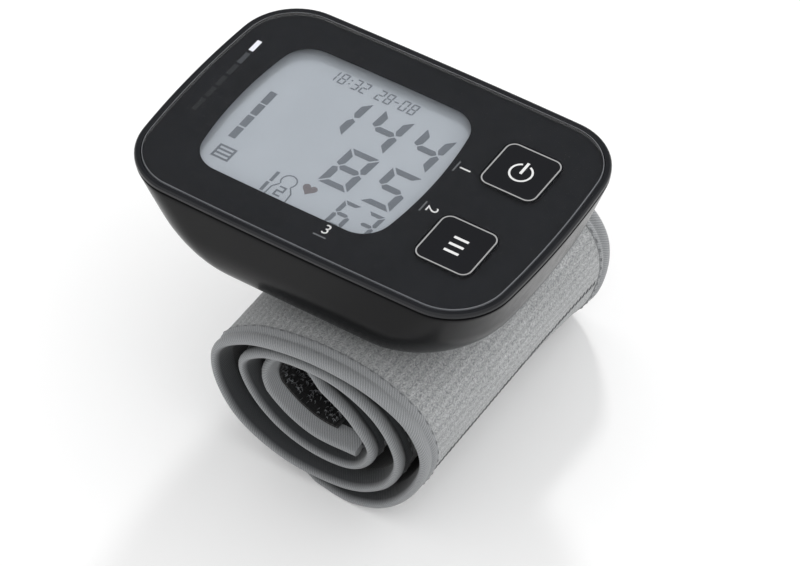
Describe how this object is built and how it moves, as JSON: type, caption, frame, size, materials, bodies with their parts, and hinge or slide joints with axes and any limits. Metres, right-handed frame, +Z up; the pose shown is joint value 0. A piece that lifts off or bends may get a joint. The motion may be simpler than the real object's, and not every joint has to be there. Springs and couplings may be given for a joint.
{
  "type": "wrist blood pressure monitor",
  "caption": "Flat-topped monitor case with a display window and square keys, standing on its own rolled and bound fabric cuff.",
  "frame": {"origin": "on the surface it stands on, under the middle of the front lens", "axes": "+X along the long side of the case towards the keys, +Y across it to the back along the axis of the rolled cuff, +Z up out of the display"},
  "size_m": [0.087, 0.0696, 0.0614],
  "materials": {
    "gloss_black": "moulded ABS, high gloss",
    "clear_lens": "clear acrylic, polished",
    "print_film": "polyester film, black print",
    "satin_black": "moulded ABS, fine satin texture",
    "display": "liquid crystal glass, blue grey",
    "white_plastic": "moulded ABS, white",
    "grey_plastic": "moulded acetal, grey",
    "black_rubber": "synthetic rubber, matt",
    "clear_silicone": "silicone, translucent",
    "board_green": "glass epoxy board, green solder mask",
    "chip_black": "epoxy moulding, matt",
    "bright_steel": "nickel plated steel",
    "cell_sleeve": "printed sleeve over a metal can",
    "grey_felt": "brushed loop cloth, grey",
    "dark_lining": "smooth knitted lining, dark grey",
    "grey_binding": "woven binding tape, grey",
    "black_hook": "hook tape, black"
  },
  "bodies": {
    "root": {"top_cover": "gloss_black", "front_lens": "clear_lens", "light_guide": "clear_lens", "window_film": "print_film", "lower_case": "satin_black", "cuff_bracket": "satin_black", "display_glass": "display", "display_frame": "white_plastic", "pressure_sensor": "white_plastic", "lamp_bar": "white_plastic", "curl_plate": "white_plastic", "pump_head": "grey_plastic", "zebra_strip_front": "black_rubber", "zebra_strip_rear": "black_rubber", "air_bladder": "black_rubber", "air_tee": "clear_silicone", "air_nipple": "clear_silicone", "valve_hose": "clear_silicone", "circuit_board": "board_green", "controller_chip": "chip_black", "buzzer": "chip_black", "power_switch": "chip_black", "memory_switch": "chip_black", "board_screw_1": "bright_steel", "board_screw_2": "bright_steel", "board_screw_3": "bright_steel", "case_screw_1": "bright_steel", "case_screw_2": "bright_steel", "cell_contact_front": "bright_steel", "cell_contact_rear": "bright_steel", "cell_spring_front": "bright_steel", "pump_motor": "bright_steel", "exhaust_valve": "bright_steel", "cell_front": "cell_sleeve", "cell_rear": "cell_sleeve", "cuff_outer_fabric": "grey_felt", "cuff_lining": "dark_lining", "tail_binding": "grey_binding", "inner_end_binding": "grey_binding", "front_edge_binding": "grey_binding", "rear_edge_binding": "grey_binding", "hook_patch": "black_hook"},
    "battery_cover": {"battery_cover": "satin_black", "link_contact": "bright_steel", "cell_spring_rear": "bright_steel"},
    "power_key": {"power_key": "gloss_black", "power_switch_plunger": "grey_plastic"},
    "memory_key": {"memory_key": "gloss_black", "memory_switch_plunger": "grey_plastic"},
    "pump_rotor": {"motor_shaft": "bright_steel", "pump_crank": "white_plastic"},
    "valve_plunger": {"valve_plunger": "bright_steel"}
  },
  "joints": [
    {"name": "battery_cover_slide", "type": "slide", "parent": "root", "child": "battery_cover", "axis": [-1, 0, 0], "range_m": [0, 0.012]},
    {"name": "power_key_press", "type": "slide", "parent": "root", "child": "power_key", "axis": [0, 0, -1], "range_m": [0, 0.0004], "stiffness_N_per_m": 1500, "springref_m": -0.0002},
    {"name": "memory_key_press", "type": "slide", "parent": "root", "child": "memory_key", "axis": [0, 0, -1], "range_m": [0, 0.0004], "stiffness_N_per_m": 1500, "springref_m": -0.0002},
    {"name": "pump_rotor_spin", "type": "hinge", "parent": "root", "child": "pump_rotor", "pos_m": [0.0204, 0, 0.04789], "axis": [0, 1, 0], "continuous": true},
    {"name": "valve_plunger_stroke", "type": "slide", "parent": "root", "child": "valve_plunger", "axis": [0, 0, -1], "range_m": [0, 0.0006], "stiffness_N_per_m": 100, "springref_m": -0.0005}
  ]
}
